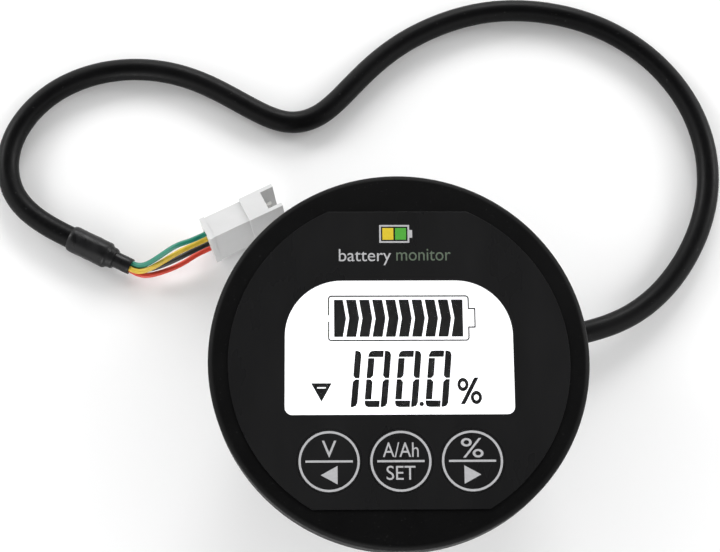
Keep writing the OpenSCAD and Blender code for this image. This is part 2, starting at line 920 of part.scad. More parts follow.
front_housing();
graphic_overlay();
display_window();
lcd_glass();
lcd_segments();
lcd_frame();
light_guide();
reflector_sheet();
backlight_leds();
zebra_strip();
main_pcb();
controller_chip();
regulator_chip();
crystal();
capacitors();
chip_parts();
lead_header();
header_plug();
switch_body(0);  // switch_left
switch_body(1);  // switch_centre
switch_body(2);  // switch_right
plunger(0);  // plunger_left
plunger(1);  // plunger_centre
plunger(2);  // plunger_right
key(0);  // key_left
key(1);  // key_centre
key(2);  // key_right
rear_cover();
cover_screw(0);  // cover_screw_1
cover_screw(1);  // cover_screw_2
cover_screw(2);  // cover_screw_3
panel_gasket();
clamp_washer();
ring_nut();
lead_grommet();
cable_tie();
lead_jacket();
color([0.1, 0.5, 0.4]) inner_lead(0);  // inner_lead_green
color([0.9, 0.75, 0.15]) inner_lead(1);  // inner_lead_yellow
color([0.06, 0.06, 0.06]) inner_lead(2);  // inner_lead_black
color([0.8, 0.15, 0.12]) inner_lead(3);  // inner_lead_red
shrink_outer();
shrink_inner();
color([0.1, 0.5, 0.4]) wire(0);  // wire_green
color([0.9, 0.75, 0.15]) wire(1);  // wire_yellow
color([0.06, 0.06, 0.06]) wire(2);  // wire_black
color([0.8, 0.15, 0.12]) wire(3);  // wire_red
plug_housing();
plug_contact(0);  // plug_contact_1
plug_contact(1);  // plug_contact_2
plug_contact(2);  // plug_contact_3
plug_contact(3);  // plug_contact_4
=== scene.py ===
"""Round panel battery monitor: a film-covered face with three keys on a threaded barrel,
a ring nut, and a signal lead that ends in a small four-way connector."""

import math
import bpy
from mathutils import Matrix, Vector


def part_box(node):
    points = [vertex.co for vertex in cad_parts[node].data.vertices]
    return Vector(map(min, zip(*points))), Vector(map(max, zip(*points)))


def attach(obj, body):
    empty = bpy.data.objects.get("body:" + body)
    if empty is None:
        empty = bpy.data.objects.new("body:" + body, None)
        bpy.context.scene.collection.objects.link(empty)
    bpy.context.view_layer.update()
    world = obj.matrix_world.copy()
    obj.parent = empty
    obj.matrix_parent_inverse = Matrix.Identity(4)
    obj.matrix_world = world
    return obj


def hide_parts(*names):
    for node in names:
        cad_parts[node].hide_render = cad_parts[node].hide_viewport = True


bl_info = {
    "name": "Round Battery Monitor",
    "version": (1, 0, 0),
    "blender": (4, 5, 0),
    "location": "View3D > Sidebar > Battery Monitor",
    "description": "Finishes a round panel battery monitor on its packed model",
    "category": "Add Mesh",
}

import bmesh
import bpy
from bpy.props import FloatProperty, FloatVectorProperty, PointerProperty
from mathutils import Matrix, Vector, noise

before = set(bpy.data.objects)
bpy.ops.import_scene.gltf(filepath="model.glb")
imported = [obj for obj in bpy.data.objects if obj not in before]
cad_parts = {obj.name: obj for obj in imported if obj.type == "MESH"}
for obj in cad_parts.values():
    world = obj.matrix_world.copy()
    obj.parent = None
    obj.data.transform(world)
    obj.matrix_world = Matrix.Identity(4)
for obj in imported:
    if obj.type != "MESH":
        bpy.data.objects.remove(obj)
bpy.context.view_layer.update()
MM = 0.001
FACE_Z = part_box("graphic_overlay")[1].z
BEZEL_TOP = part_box("graphic_overlay")[0].z
BEZEL_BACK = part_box("panel_gasket")[1].z
BEZEL_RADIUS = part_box("front_housing")[1].x
BARREL_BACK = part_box("front_housing")[0].z
SCREEN_LOW, SCREEN_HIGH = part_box("display_window")
KEYS = ("left", "centre", "right")


# ---- Sizes and colours that a user may change ----

def length_property(name, description, default):
    return FloatProperty(name=name, description=description, default=default, unit="LENGTH", precision=5)


def colour_property(name, description, default):
    return FloatVectorProperty(
        name=name, description=description, default=default, size=3, min=0, max=1, subtype="COLOR"
    )


class MonitorSizes(bpy.types.PropertyGroup):
    film_radius: length_property("Film radius", "Radius of the printed film", 29.1 * MM)
    film_top: length_property("Film top", "Height of the film's flat top edge", 25.7 * MM)
    film_bottom: length_property("Film bottom", "Depth of the film's flat bottom edge", 25.8 * MM)
    film_drop: length_property("Film drop", "How far the film's centre lies below the bezel's", 0.75 * MM)
    edge_radius: length_property("Edge radius", "Radius of the bezel's front edge", 1.1 * MM)
    ring_radius: length_property("Key ring radius", "Outer radius of the printed ring", 5.12 * MM)
    ring_stroke: length_property("Key ring stroke", "Width of the printed ring", 0.38 * MM)
    print_height: length_property("Print height", "Thickness of the printed ink", 0.02 * MM)
    lead_diameter: length_property("Lead diameter", "Diameter of the lead's jacket", 4.2 * MM)
    wire_diameter: length_property("Wire diameter", "Diameter of one insulated wire", 1 * MM)


class MonitorColours(bpy.types.PropertyGroup):
    plastic: colour_property("Bezel plastic", "Moulded black plastic", (0.0012, 0.0012, 0.0013))
    film: colour_property("Film", "Printed film of the face", (0.0085, 0.0085, 0.0088))
    ink: colour_property("Ink", "Light grey ink of the face", (0.4, 0.4, 0.41))
    jacket: colour_property("Lead jacket", "Black plastic of the lead", (0.0018, 0.0018, 0.002))
    green: colour_property("Green wire", "Insulation of the first wire", (0.012, 0.2, 0.13))
    yellow: colour_property("Yellow wire", "Insulation of the second wire", (0.62, 0.42, 0.03))
    black: colour_property("Black wire", "Insulation of the third wire", (0.01, 0.01, 0.01))
    red: colour_property("Red wire", "Insulation of the fourth wire", (0.6, 0.05, 0.025))
    nylon: colour_property("Connector", "White nylon of the connector", (0.63, 0.63, 0.63))
    floor: colour_property("Floor", "Pale floor under the monitor", (0.95, 0.95, 0.95))


def sizes():
    return bpy.context.scene.monitor_sizes


def colours():
    return bpy.context.scene.monitor_colours


# ---- Materials ----

class Value:
    """A socket in an expression: each operator adds one Math node."""

    def __init__(self, finish, socket):
        self.finish = finish
        self.socket = socket

    def math(self, operation, first, second):
        return self.finish.node("ShaderNodeMath", {"operation": operation}, {0: first, 1: second})

    def __add__(self, other):
        return self.math("ADD", self, other)

    def __mul__(self, other):
        return self.math("MULTIPLY", self, other)

    def above(self, limit):
        return self.math("GREATER_THAN", self, limit)


class Finish:
    """A material in the making, with one Principled shader."""

    def __init__(self, name, **constants):
        self.material = bpy.data.materials.new(name)
        self.material.use_nodes = True
        self.tree = self.material.node_tree
        self.shader = self.tree.nodes["Principled BSDF"]
        for key, value in constants.items():
            self.shader.inputs[key.replace("_", " ")].default_value = value

    def node(self, kind, settings=None, inputs=None, output=0):
        made = self.tree.nodes.new(kind)
        for key, value in (settings or {}).items():
            setattr(made, key, value)
        for key, value in (inputs or {}).items():
            if isinstance(value, Value):
                self.tree.links.new(value.socket, made.inputs[key])
            else:
                made.inputs[key].default_value = value
        return Value(self, made.outputs[output])

    def feed(self, name, value):
        self.tree.links.new(value.socket, self.shader.inputs[name])

    def place(self):
        return self.node("ShaderNodeTexCoord", output="Object")

    def scaled(self, vector, scale):
        return self.node("ShaderNodeMapping", {}, {"Vector": vector, "Scale": scale})

    def noise(self, vector, scale, detail=2.0, roughness=0.5):
        return self.node(
            "ShaderNodeTexNoise", {},
            {"Vector": vector, "Scale": scale, "Detail": detail, "Roughness": roughness},
        )

    def ramp(self, value, low, high, start, end):
        return self.node(
            "ShaderNodeMapRange", {},
            {"Value": value, "From Min": low, "From Max": high, "To Min": start, "To Max": end},
        )

    def blend(self, factor, first, second):
        mix = self.tree.nodes.new("ShaderNodeMix")
        mix.data_type = "RGBA"
        self.tree.links.new(factor.socket, mix.inputs[0])
        for slot, colour in ((6, first), (7, second)):
            if isinstance(colour, Value):
                self.tree.links.new(colour.socket, mix.inputs[slot])
            else:
                mix.inputs[slot].default_value = (*colour, 1)
        return Value(self, mix.outputs[2])

    def bump(self, height, strength, distance):
        return self.node(
            "ShaderNodeBump", {}, {"Height": height, "Strength": strength, "Distance": distance}
        )


def shade(colour, factor):
    return tuple(min(1.0, part * factor) for part in colour)


def moulded_plastic(name, colour, roughness, grain, depth):
    """Black moulded plastic: a fine eroded grain, slight wear, a little dust."""
    finish = Finish(name, IOR=1.5, Specular_IOR_Level=0.1)
    spot = finish.place()
    fine = finish.noise(spot, grain, 3.0, 0.6)
    broad = finish.noise(spot, 130.0, 3.0, 0.55)
    dust = finish.noise(spot, 2600.0, 2.0).above(0.72)
    colour_now = finish.blend(broad, shade(colour, 0.8), shade(colour, 1.25))
    colour_now = finish.blend(dust * 0.05, colour_now, (0.2, 0.2, 0.2))
    finish.feed("Base Color", colour_now)
    finish.feed("Roughness", finish.ramp(fine + broad * 0.6, 0.5, 1.1, roughness - 0.07, roughness + 0.08))
    finish.feed("Normal", finish.bump(fine, 0.35, depth))
    return finish.material


def printed_film(name, colour):
    """Satin film: a very shallow pebble, broad gloss changes and faint smudges."""
    finish = Finish(name, IOR=1.5, Specular_IOR_Level=0.2, Coat_Roughness=0.32)
    spot = finish.place()
    pebble = finish.noise(spot, 5200.0, 2.0)
    smudge = finish.noise(finish.scaled(spot, (1.0, 0.35, 1.0)), 90.0, 4.0, 0.6)
    finish.feed("Base Color", finish.blend(smudge, shade(colour, 0.85), shade(colour, 1.2)))
    finish.feed("Roughness", finish.ramp(smudge, 0.3, 0.7, 0.24, 0.34))
    finish.feed("Coat Weight", finish.ramp(smudge, 0.35, 0.65, 0.0, 0.06))
    finish.feed("Normal", finish.bump(pebble, 0.12, 0.000004))
    return finish.material


def face_ink(name, colour):
    """Screen-printed ink with a little unevenness."""
    finish = Finish(name, IOR=1.45)
    spot = finish.place()
    mottled = finish.noise(spot, 2400.0, 3.0)
    finish.feed("Base Color", finish.blend(mottled, shade(colour, 0.82), shade(colour, 1.12)))
    finish.feed("Roughness", finish.ramp(mottled, 0.3, 0.7, 0.42, 0.58))
    return finish.material


def jacket_plastic(name, colour):
    """Soft extruded plastic of the lead: drawn streaks, fine pores and specks of dust."""
    finish = Finish(name, IOR=1.5, Specular_IOR_Level=0.12)
    spot = finish.place()
    pores = finish.noise(spot, 1900.0, 3.0)
    waves = finish.noise(spot, 160.0, 2.0)
    specks = finish.noise(spot, 1500.0, 1.0).above(0.74)
    base = finish.blend(waves, shade(colour, 0.7), shade(colour, 1.5))
    finish.feed("Base Color", finish.blend(specks * 0.05, base, (0.25, 0.25, 0.25)))
    finish.feed("Roughness", finish.ramp(pores + waves * 0.5, 0.5, 1.0, 0.34, 0.48))
    finish.feed("Normal", finish.bump(pores + waves * 2.0, 0.3, 0.00001))
    return finish.material


def shrunk_sleeve(name):
    """Heat-shrink tube: glossy, with fine wrinkles around it."""
    finish = Finish(name, IOR=1.5, Specular_IOR_Level=0.2)
    spot = finish.place()
    creases = finish.noise(finish.scaled(spot, (1.0, 0.4, 1.0)), 700.0, 4.0, 0.6)
    finish.feed("Base Color", finish.blend(creases, (0.004, 0.004, 0.004), (0.012, 0.012, 0.013)))
    finish.feed("Roughness", finish.ramp(creases, 0.35, 0.65, 0.26, 0.44))
    finish.feed("Normal", finish.bump(creases, 0.45, 0.00006))
    return finish.material


def wire_insulation(name, colour):
    """Thin insulation with a soft sheen and slight streaks."""
    finish = Finish(name, IOR=1.48)
    spot = finish.place()
    streaks = finish.noise(spot, 900.0, 3.0)
    finish.feed("Base Color", finish.blend(streaks, shade(colour, 0.78), shade(colour, 1.2)))
    finish.feed("Roughness", finish.ramp(streaks, 0.3, 0.7, 0.3, 0.45))
    finish.feed("Normal", finish.bump(streaks, 0.15, 0.00002))
    return finish.material


def white_nylon(name, colour):
    """Natural nylon: milky, with flow marks and a satin surface."""
    finish = Finish(name, IOR=1.53)
    spot = finish.place()
    flow = finish.noise(finish.scaled(spot, (0.5, 1.0, 1.0)), 420.0, 4.0, 0.6)
    grain = finish.noise(spot, 5200.0, 2.0)
    finish.feed("Base Color", finish.blend(flow, shade(colour, 0.93), shade(colour, 1.04)))
    finish.feed("Roughness", finish.ramp(flow, 0.3, 0.7, 0.34, 0.46))
    finish.feed("Normal", finish.bump(grain + flow * 2.0, 0.14, 0.00001))
    return finish.material


def soft_rubber(name):
    finish = Finish(name, IOR=1.45)
    spot = finish.place()
    powder = finish.noise(spot, 600.0, 4.0, 0.65)
    finish.feed("Base Color", finish.blend(powder, (0.012, 0.012, 0.012), (0.03, 0.03, 0.031)))
    finish.feed("Roughness", finish.ramp(powder, 0.3, 0.7, 0.68, 0.85))
    finish.feed("Normal", finish.bump(powder, 0.3, 0.00002))
    return finish.material


def zinc_steel(name):
    """Zinc-plated steel with a rolled grain."""
    finish = Finish(name, Metallic=1.0)
    spot = finish.place()
    rolled = finish.noise(finish.scaled(spot, (0.15, 1.6, 1.0)), 1200.0, 3.0)
    cloudy = finish.noise(spot, 120.0, 3.0)
    finish.feed("Base Color", finish.blend(cloudy, (0.46, 0.47, 0.48), (0.66, 0.66, 0.65)))
    finish.feed("Roughness", finish.ramp(rolled + cloudy * 0.5, 0.5, 1.0, 0.26, 0.44))
    finish.feed("Normal", finish.bump(rolled, 0.12, 0.00001))
    return finish.material


def tin_plate(name):
    finish = Finish(name, Metallic=1.0)
    spot = finish.place()
    cloudy = finish.noise(spot, 900.0, 3.0)
    finish.feed("Base Color", finish.blend(cloudy, (0.6, 0.59, 0.56), (0.82, 0.81, 0.79)))
    finish.feed("Roughness", finish.ramp(cloudy, 0.3, 0.7, 0.2, 0.36))
    return finish.material


def solder_mask(name):
    """Green board with copper tracks that show under the mask."""
    finish = Finish(name, IOR=1.5)
    spot = finish.place()
    cells = finish.node(
        "ShaderNodeTexBrick", {"offset": 0.37},
        {"Vector": spot, "Scale": 190.0, "Mortar Size": 0.05, "Mortar Smooth": 0.1}, "Fac",
    )
    cloudy = finish.noise(spot, 300.0, 3.0)
    base = finish.blend(cloudy, (0.006, 0.06, 0.025), (0.01, 0.09, 0.035))
    finish.feed("Base Color", finish.blend(cells, base, (0.03, 0.2, 0.075)))
    finish.feed("Roughness", finish.ramp(cloudy, 0.3, 0.7, 0.24, 0.38))
    finish.feed("Normal", finish.bump(cells, 0.3, 0.00003))
    return finish.material


def plain_grain(name, low, high, roughness, grain, **constants):
    """A moulded or pressed surface whose colour and gloss vary a little."""
    finish = Finish(name, **constants)
    spot = finish.place()
    mottled = finish.noise(spot, grain, 3.0)
    finish.feed("Base Color", finish.blend(mottled, low, high))
    finish.feed("Roughness", finish.ramp(mottled, 0.3, 0.7, roughness - 0.08, roughness + 0.08))
    finish.feed("Normal", finish.bump(mottled, 0.15, 0.00001))
    return finish.material


def lit_diffuser(name, strength):
    """Backlit plate: even white with a barely seen fall-off."""
    finish = Finish(name, Roughness=0.5, Emission_Strength=strength)
    spot = finish.place()
    drift = finish.noise(spot, 25.0, 1.0)
    glow = finish.blend(drift, (0.97, 0.98, 1.0), (1.0, 1.0, 1.0))
    finish.feed("Base Color", glow)
    finish.feed("Emission Color", glow)
    return finish.material


def clear_lens(name):
    """Polished clear plastic with hair-fine wipe marks."""
    finish = Finish(name, IOR=1.49, Transmission_Weight=1.0)
    spot = finish.place()
    wipes = finish.noise(finish.scaled(spot, (1.0, 0.2, 1.0)), 800.0, 2.0)
    finish.feed("Base Color", finish.blend(wipes, (0.985, 0.99, 0.995), (1.0, 1.0, 1.0)))
    finish.feed("Roughness", finish.ramp(wipes, 0.45, 0.75, 0.0, 0.03))
    return finish.material


FINISHES = {}


def make_finishes():
    now = colours()
    FINISHES.update(
        bezel=moulded_plastic("bezel_plastic", now.plastic, 0.5, 3600.0, 0.00002),
        nut=moulded_plastic("nut_plastic", shade(now.plastic, 1.6), 0.55, 2800.0, 0.00003),
        film=printed_film("face_film", now.film),
        ink=face_ink("face_ink", now.ink),
        dim_ink=face_ink("dim_ink", (0.09, 0.12, 0.085)),
        sun_ink=face_ink("yellow_ink", (0.6, 0.45, 0.02)),
        leaf_ink=face_ink("green_ink", (0.06, 0.32, 0.03)),
        jacket=jacket_plastic("lead_jacket_plastic", now.jacket),
        sleeve=shrunk_sleeve("heat_shrink"),
        green=wire_insulation("green_insulation", now.green),
        yellow=wire_insulation("yellow_insulation", now.yellow),
        black=wire_insulation("black_insulation", now.black),
        red=wire_insulation("red_insulation", now.red),
        nylon=white_nylon("connector_nylon", now.nylon),
        rubber=soft_rubber("gasket_rubber"),
        steel=zinc_steel("zinc_steel"),
        tin=tin_plate("tin_plate"),
        board=solder_mask("solder_mask"),
        epoxy=plain_grain("chip_epoxy", (0.012, 0.012, 0.012), (0.025, 0.025, 0.026), 0.6, 3000.0),
        ceramic=plain_grain("chip_ceramic", (0.2, 0.13, 0.07), (0.32, 0.22, 0.12), 0.5, 4000.0),
        white=plain_grain("white_plastic", (0.7, 0.7, 0.67), (0.8, 0.8, 0.78), 0.45, 900.0),
        resin=plain_grain("led_resin", (0.75, 0.62, 0.2), (0.85, 0.75, 0.3), 0.25, 2000.0),
        zebra=plain_grain("contact_rubber", (0.5, 0.16, 0.18), (0.6, 0.22, 0.24), 0.7, 2500.0),
        glow=lit_diffuser("lit_diffuser", 1.0),
        glass=lit_diffuser("lit_polariser", 1.15),
        marks=plain_grain("crystal_marks", (0.006, 0.006, 0.006), (0.012, 0.012, 0.012), 0.7, 1500.0),
        lens=clear_lens("clear_lens"),
    )


CAD_FINISHES = {
    "display_window": "lens", "lcd_glass": "glass", "lcd_segments": "marks", "lcd_frame": "white",
    "light_guide": "glow", "reflector_sheet": "glow", "backlight_leds": "resin", "zebra_strip": "zebra",
    "main_pcb": "board", "controller_chip": "epoxy", "regulator_chip": "epoxy", "crystal": "tin",
    "capacitors": "tin", "chip_parts": "ceramic", "lead_header": "white", "header_plug": "white",
    "switch_left": "epoxy", "switch_centre": "epoxy", "switch_right": "epoxy",
    "plunger_left": "white", "plunger_centre": "white", "plunger_right": "white",
    "cable_tie": "white", "inner_lead_green": "green", "inner_lead_yellow": "yellow",
    "inner_lead_black": "black", "inner_lead_red": "red", "plug_contact_1": "tin",
    "plug_contact_2": "tin", "plug_contact_3": "tin", "plug_contact_4": "tin",
}


# ---- Modelling helpers ----

HARD_EDGE = math.radians(35)


def deselect_all():
    if bpy.context.mode != "OBJECT":
        bpy.ops.object.mode_set(mode="OBJECT")
    bpy.ops.object.select_all(action="DESELECT")


def take(obj):
    deselect_all()
    obj.select_set(True)
    bpy.context.view_layer.objects.active = obj
    return obj


def added(name):
    obj = bpy.context.view_layer.objects.active
    obj.name = name
    obj.data.name = name
    return obj


def edit(obj):
    take(obj)
    bpy.ops.object.mode_set(mode="EDIT")
    bpy.ops.mesh.select_all(action="SELECT")


def done():
    bpy.ops.object.mode_set(mode="OBJECT")


def select_corners(obj, test):
    """Selects, in edit mode, the vertices that pass a test."""
    bpy.ops.mesh.select_all(action="DESELECT")
    bpy.ops.mesh.select_mode(type="VERT")
    shape = bmesh.from_edit_mesh(obj.data)
    for corner in shape.verts:
        if test(corner):
            corner.select_set(True)
    shape.select_flush(True)
    bmesh.update_edit_mesh(obj.data)


def settle(obj, matrix=None):
    """Puts an object's place into its mesh."""
    take(obj)
    if matrix is not None:
        obj.matrix_world = matrix
        bpy.context.view_layer.update()
    bpy.ops.object.transform_apply(location=True, rotation=True, scale=True)
    return obj


def apply_modifier(obj, kind, **values):
    take(obj)
    modifier = obj.modifiers.new(kind.lower(), kind)
    for key, value in values.items():
        setattr(modifier, key, value)
    bpy.ops.object.modifier_apply(modifier=modifier.name)


def subtract(obj, cutter):
    apply_modifier(obj, "BOOLEAN", operation="DIFFERENCE", object=cutter, solver="EXACT")
    bpy.data.objects.remove(cutter)


def unite(obj, other):
    apply_modifier(obj, "BOOLEAN", operation="UNION", object=other, solver="EXACT")
    bpy.data.objects.remove(other)


def join(objects, name):
    deselect_all()
    for obj in objects:
        obj.select_set(True)
    bpy.context.view_layer.objects.active = objects[0]
    bpy.ops.object.join()
    return added(name)


def soften(obj, width, segments):
    """Rounds the hard edges a little."""
    apply_modifier(
        obj, "BEVEL", width=width, segments=segments, limit_method="ANGLE",
        angle_limit=HARD_EDGE, use_clamp_overlap=True,
    )


def smooth(obj, angle=35):
    """Smooth shading in which the large flat faces stay flat."""
    take(obj)
    bpy.ops.object.shade_smooth_by_angle(angle=math.radians(angle))
    apply_modifier(obj, "WEIGHTED_NORMAL", keep_sharp=True, weight=90)


def block(name, low, high):
    """Box between two corners."""
    centre = [(a + b) / 2 for a, b in zip(low, high)]
    deselect_all()
    bpy.ops.mesh.primitive_cube_add(size=1, location=centre)
    obj = added(name)
    obj.scale = [b - a for a, b in zip(low, high)]
    return settle(obj)


def drum(name, radius, low, high, spot, sides):
    """Upright cylinder between two heights."""
    deselect_all()
    bpy.ops.mesh.primitive_cylinder_add(
        vertices=sides, radius=radius, depth=high - low, location=(spot[0], spot[1], (low + high) / 2)
    )
    return settle(added(name))


def turned(name, profile, steps):
    """Body turned about Z from an outline of [radius, height]. An outline that starts and ends on
    the axis gives a closed body; one that ends off the axis gives a tube with an open seam."""
    deselect_all()
    bpy.ops.mesh.primitive_plane_add(size=MM)
    obj = added(name)
    edit(obj)
    bpy.ops.mesh.merge(type="CENTER")
    bpy.ops.transform.translate(value=(profile[0][0], 0, profile[0][1]))
    for here, there in zip(profile, profile[1:]):
        bpy.ops.mesh.extrude_region_move(
            TRANSFORM_OT_translate={"value": (there[0] - here[0], 0, there[1] - here[1])}
        )
    bpy.ops.mesh.select_all(action="SELECT")
    bpy.ops.mesh.spin(steps=steps, angle=2 * math.pi, center=(0, 0, 0), axis=(0, 0, 1))
    bpy.ops.mesh.select_all(action="SELECT")
    bpy.ops.mesh.remove_doubles(threshold=1e-6)
    bpy.ops.mesh.normals_make_consistent(inside=False)
    done()
    return obj


def softened_copy(node, name, width, segments=2):
    """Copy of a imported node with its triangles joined, flat faces made whole and edges rounded."""
    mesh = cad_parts[node].data.copy()
    mesh.materials.clear()
    obj = bpy.data.objects.new(name, mesh)
    bpy.context.scene.collection.objects.link(obj)
    edit(obj)
    bpy.ops.mesh.remove_doubles(threshold=2e-6)
    bpy.ops.mesh.dissolve_limited(angle_limit=math.radians(0.6))
    done()
    soften(obj, width, segments)
    smooth(obj)
    return obj


def finished(obj, body, finish, slot, *nodes):
    """Gives a piece its material and body, and hides the imported nodes it stands for. The slot is not
    used.
    """
    if obj.type == "MESH":
        settle(obj)
    obj.data.materials.clear()
    obj.data.materials.append(FINISHES[finish])
    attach(obj, body)
    if nodes:
        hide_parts(*nodes)
    return obj


SCREEN_TOP_CORNER = 9.7 * MM
SCREEN_BOTTOM_CORNER = 1.3 * MM


def screen_cutter(name, grow, low, high):
    """Prism of the screen's outline: large upper corners and small lower ones."""
    # The opening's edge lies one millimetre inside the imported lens.
    half = (SCREEN_HIGH.x - SCREEN_LOW.x) / 2 - MM + grow
    top = SCREEN_HIGH.y - MM + grow
    bottom = SCREEN_LOW.y + MM - grow
    deselect_all()
    bpy.ops.mesh.primitive_plane_add(size=1, location=(0, (top + bottom) / 2, low))
    obj = added(name)
    obj.scale = (2 * half, top - bottom, 1)
    settle(obj)
    edit(obj)
    middle = (top + bottom) / 2
    select_corners(obj, lambda v: v.co.y > middle)
    bpy.ops.mesh.bevel(
        affect="VERTICES", offset=SCREEN_TOP_CORNER + grow, segments=24, offset_type="OFFSET"
    )
    select_corners(obj, lambda v: v.co.y < bottom + 1e-6)
    bpy.ops.mesh.bevel(
        affect="VERTICES", offset=SCREEN_BOTTOM_CORNER + grow, segments=8, offset_type="OFFSET"
    )
    bpy.ops.mesh.select_all(action="SELECT")
    bpy.ops.mesh.extrude_region_move(TRANSFORM_OT_translate={"value": (0, 0, high - low)})
    bpy.ops.mesh.select_all(action="SELECT")
    bpy.ops.mesh.normals_make_consistent(inside=False)
    done()
    return obj


def lettering(text, centre, size, base, height):
    """Raised letters as a mesh, fitted to a size in X and Y and set on a height."""
    deselect_all()
    bpy.ops.object.text_add()
    obj = bpy.context.view_layer.objects.active
    obj.data.body = text
    obj.data.extrude = 0.5
    obj.data.resolution_u = 6
    bpy.ops.object.convert(target="MESH")
    obj = added("letters")
    corners = [v.co for v in obj.data.vertices]
    low = Vector([min(c[k] for c in corners) for k in range(3)])
    high = Vector([max(c[k] for c in corners) for k in range(3)])
    span = high - low
    scale = Matrix.Diagonal((size[0] / span.x, size[1] / span.y, height / span.z, 1))
    move = Matrix.Translation((centre[0], centre[1], base + height / 2))
    obj.data.transform(move @ scale @ Matrix.Translation(-(low + high) / 2))
    return obj


def flat_ring(name, outer, inner, spot, base, height):
    """Thin flat ring."""
    ring = drum(name, outer, base, base + height, spot, 96)
    subtract(ring, drum("ring_hole", inner, base - height, base + 2 * height, spot, 96))
    return ring


def wedge(name, corners, base, height):
    """Thin triangle through three corners, made from a three-sided circle."""
    deselect_all()
    bpy.ops.mesh.primitive_circle_add(vertices=3, radius=MM, fill_type="NGON")
    obj = added(name)
    for vertex, corner in zip(obj.data.vertices, corners):
        vertex.co = (corner[0], corner[1], base)
    edit(obj)
    bpy.ops.mesh.extrude_region_move(TRANSFORM_OT_translate={"value": (0, 0, height)})
    bpy.ops.mesh.select_all(action="SELECT")
    bpy.ops.mesh.normals_make_consistent(inside=False)
    done()
    return obj


# ---- The lead's route and the connector's place, in metres ----

LEAD_RADIUS = 2.1 * MM
EXIT_ANGLE = math.radians(16)
EXIT_RISE = 3.4 * MM
ROUTE_START = 13 * MM
ROUTE = [
    (33, 9.35, 3), (39, 10.9, 2), (45, 13.4, 0.9), (51, 17.9, 0.2), (56, 24.05, 0),
    (59.7, 31.25, 0), (61.8, 39.25, 0), (61.6, 47.75, 0), (59, 56.25, 0), (53.8, 64.05, 0),
    (46.5, 70.25, 0), (38, 74.25, 0), (28.5, 76.15, 0), (19, 75.85, 0), (10, 73.15, 0),
    (1.8, 68.7, 0), (-4.6, 63, 0), (-9.4, 57.5, 0), (-13.8, 53.4, 0), (-19.3, 52, 0),
    (-25, 54.3, 0), (-31.8, 58.5, 0), (-39, 62.1, 0), (-47.5, 63.85, 0), (-56.5, 63.1, 0),
    (-65, 59.45, 0), (-71.4, 52.8, 0), (-74, 44.8, 0.1), (-72, 37, 0.3), (-66.4, 32.25, 0.5),
    (-61.4, 29.65, 0.5), (-57.4, 27.65, 0.5), (-53.4, 25.65, 0.5),
]
PLUG_REAR = Vector((-34, 26.75, 0)) * MM
PLUG_YAW = math.radians(26)
PLUG_LEAN = math.radians(12)
PLUG_LIFT = 2.6 * MM * math.sin(PLUG_LEAN)
CORE_SPREAD = 0.52 * MM

# Each wire: its colour, its place in the lead, its bow in mm and its level in the connector in mm.
WIRES = (
    ("green", (1, 1), (0, 1.2, 2.2), 8.2),
    ("yellow", (-1, 1), (0, 0.4, 1), 6.2),
    ("black", (1, -1), (0, 0, 0.2), 4.2),
    ("red", (-1, -1), (0.4, -0.8, -0.2), 2.2),
)

# Outlines of the shrunk sleeves: radius and distance past the jacket's end, in mm.
LARGE_SLEEVE = (
    (2.05, -8), (2.28, -8.02), (2.42, -7.8), (2.5, -7.2), (2.5, -6), (2.48, -5), (2.5, -4),
    (2.49, -3), (2.51, -2), (2.5, -1), (2.5, -0.35), (2.38, -0.08), (2.2, 0.1), (2.05, 0.4),
    (2, 0.8), (1.93, 1.2), (1.75, 1.42), (1.5, 1.45),
)
SMALL_SLEEVE = (
    (1.4, 0), (1.54, 0.5), (1.56, 1.5), (1.52, 2.4), (1.56, 3.3), (1.54, 4.2), (1.5, 4.7),
    (1.38, 4.8), (1.2, 4.78), (1.15, 4.2),
)


def lead_points():
    outward = Vector((math.cos(EXIT_ANGLE), math.sin(EXIT_ANGLE), 0))
    inside = [outward * (ROUTE_START + 5 * MM * k) + Vector((0, 0, EXIT_RISE)) for k in range(4)]
    table = [Vector(point) * MM for point in ROUTE]
    return [point + Vector((0, 0, LEAD_RADIUS)) for point in inside + table]


def spline(points, steps):
    """Points along the uniform cubic B-spline that starts and ends on its first and last points."""
    q = [2 * points[0] - points[1], *points, 2 * points[-1] - points[-2]]
    line = []
    for i in range(len(points) - 1):
        last = i == len(points) - 2
        for step in range(steps + 1 if last else steps):
            t = step / steps
            line.append(
                ((1 - t) ** 3 * q[i] + (3 * t ** 3 - 6 * t * t + 4) * q[i + 1]
                 + (-3 * t ** 3 + 3 * t * t + 3 * t + 1) * q[i + 2] + t ** 3 * q[i + 3]) / 6
            )
    return line


def round_line(name, points, radius, resolution):
    """Curve of one open spline with a round section and closed ends."""
    data = bpy.data.curves.new(name, "CURVE")
    data.dimensions = "3D"
    data.bevel_depth = radius
    data.bevel_resolution = resolution
    data.use_fill_caps = True
    line = data.splines.new("POLY")
    line.points.add(len(points) - 1)
    for spot, point in zip(line.points, points):
        spot.co = (*point, 1)
    line.use_smooth = True
    obj = bpy.data.objects.new(name, data)
    bpy.context.scene.collection.objects.link(obj)
    return obj


def plug_point(x, y, z):
    """A point given in the connector's own frame: along it, across it and up its row, in mm."""
    across = y * math.cos(PLUG_LEAN) + z * math.sin(PLUG_LEAN)
    height = -y * math.sin(PLUG_LEAN) + z * math.cos(PLUG_LEAN)
    flat = Vector((
        x * math.cos(PLUG_YAW) - across * math.sin(PLUG_YAW),
        x * math.sin(PLUG_YAW) + across * math.cos(PLUG_YAW),
        height,
    ))
    return PLUG_REAR + flat * MM + Vector((0, 0, PLUG_LIFT))


def lead_end():
    points = lead_points()
    return points[-1], (points[-1] - points[-2]).normalized()


